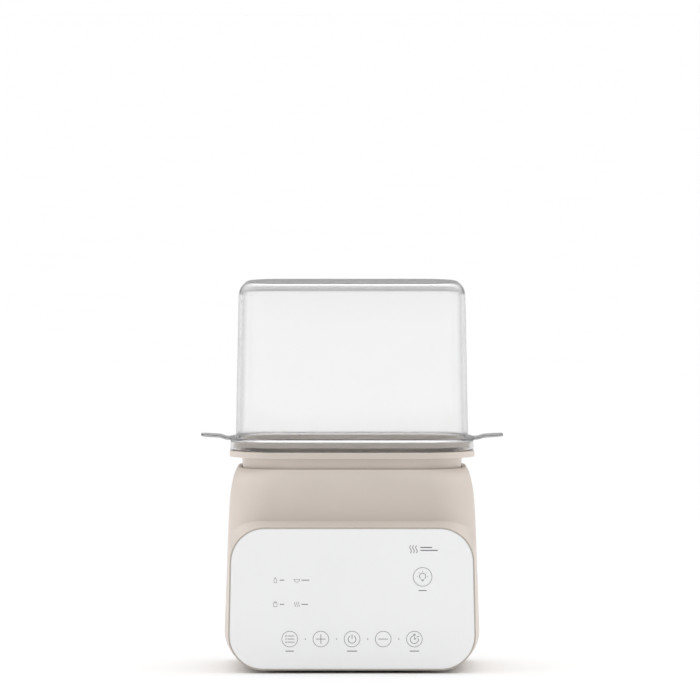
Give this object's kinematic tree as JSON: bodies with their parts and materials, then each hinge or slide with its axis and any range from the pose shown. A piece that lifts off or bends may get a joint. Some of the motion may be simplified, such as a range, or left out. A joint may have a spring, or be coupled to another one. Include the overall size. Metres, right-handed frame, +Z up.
{
  "type": "bottle sterilizer",
  "caption": "Electric steam steriliser: heated water tank with touch panel, a lift-out slotted basket and a clear cap-like lid with grip tabs.",
  "frame": {"origin": "on the table, at the centre of the whole object's footprint", "axes": "+Z up, +X to the right of the control panel, the control panel faces -Y"},
  "size_m": [0.268, 0.1713, 0.342],
  "materials": {
    "shell_beige": "fine satin moulding",
    "tank_beige": "satin moulding",
    "basket_beige": "satin moulding",
    "panel_white": "gloss, printed from behind",
    "trim_taupe": "satin",
    "clear_lid": "clear moulded plastic, faintly frosted",
    "stainless": "brushed",
    "zinc_steel": "zinc plated",
    "cast_aluminium": "as cast",
    "silicone": "matte",
    "foot_rubber": "matte",
    "cover_taupe": "textured moulding",
    "board_green": "solder mask",
    "component_black": "moulded",
    "component_blue": "moulded",
    "component_yellow": "taped winding",
    "component_white": "ceramic and nylon",
    "lens_white": "diffusing",
    "pad_grey": "conductive foam",
    "pin_brass": "plated"
  },
  "bodies": {
    "base": {"body_shell": "shell_beige", "panel_trim": "trim_taupe", "front_panel": "panel_white", "water_tank": "tank_beige", "heating_plate": "stainless", "plate_seal": "silicone", "clamp_ring": "zinc_steel", "clamp_screws": "zinc_steel", "heater_element": "stainless", "heat_spreader": "cast_aluminium", "thermostat": "component_white", "thermal_fuse": "component_white", "fuse_clip": "zinc_steel", "temperature_sensor": "component_black", "bottom_cover": "cover_taupe", "rubber_feet": "foot_rubber", "base_screws": "zinc_steel", "power_board": "board_green", "board_screws": "zinc_steel", "relay": "component_blue", "transformer": "component_yellow", "filter_capacitor": "component_black", "line_fuse": "component_white", "board_terminals": "component_white", "light_guide": "lens_white", "control_board": "board_green", "touch_pads": "pad_grey", "indicator_lamps": "lens_white", "display_module": "component_black", "controller_chip": "component_black", "buzzer": "component_black", "ribbon_socket": "component_white", "control_screws": "zinc_steel", "power_inlet": "component_black", "inlet_pins": "pin_brass"},
    "basket": {"basket": "basket_beige"},
    "lid": {"lid": "clear_lid"}
  },
  "joints": [
    {"name": "basket_lift", "type": "slide", "parent": "base", "child": "basket", "axis": [0, 0, 1], "range_m": [0, 0.145]},
    {"name": "lid_lift", "type": "slide", "parent": "basket", "child": "lid", "axis": [0, 0, 1], "range_m": [0, 0.068]}
  ]
}
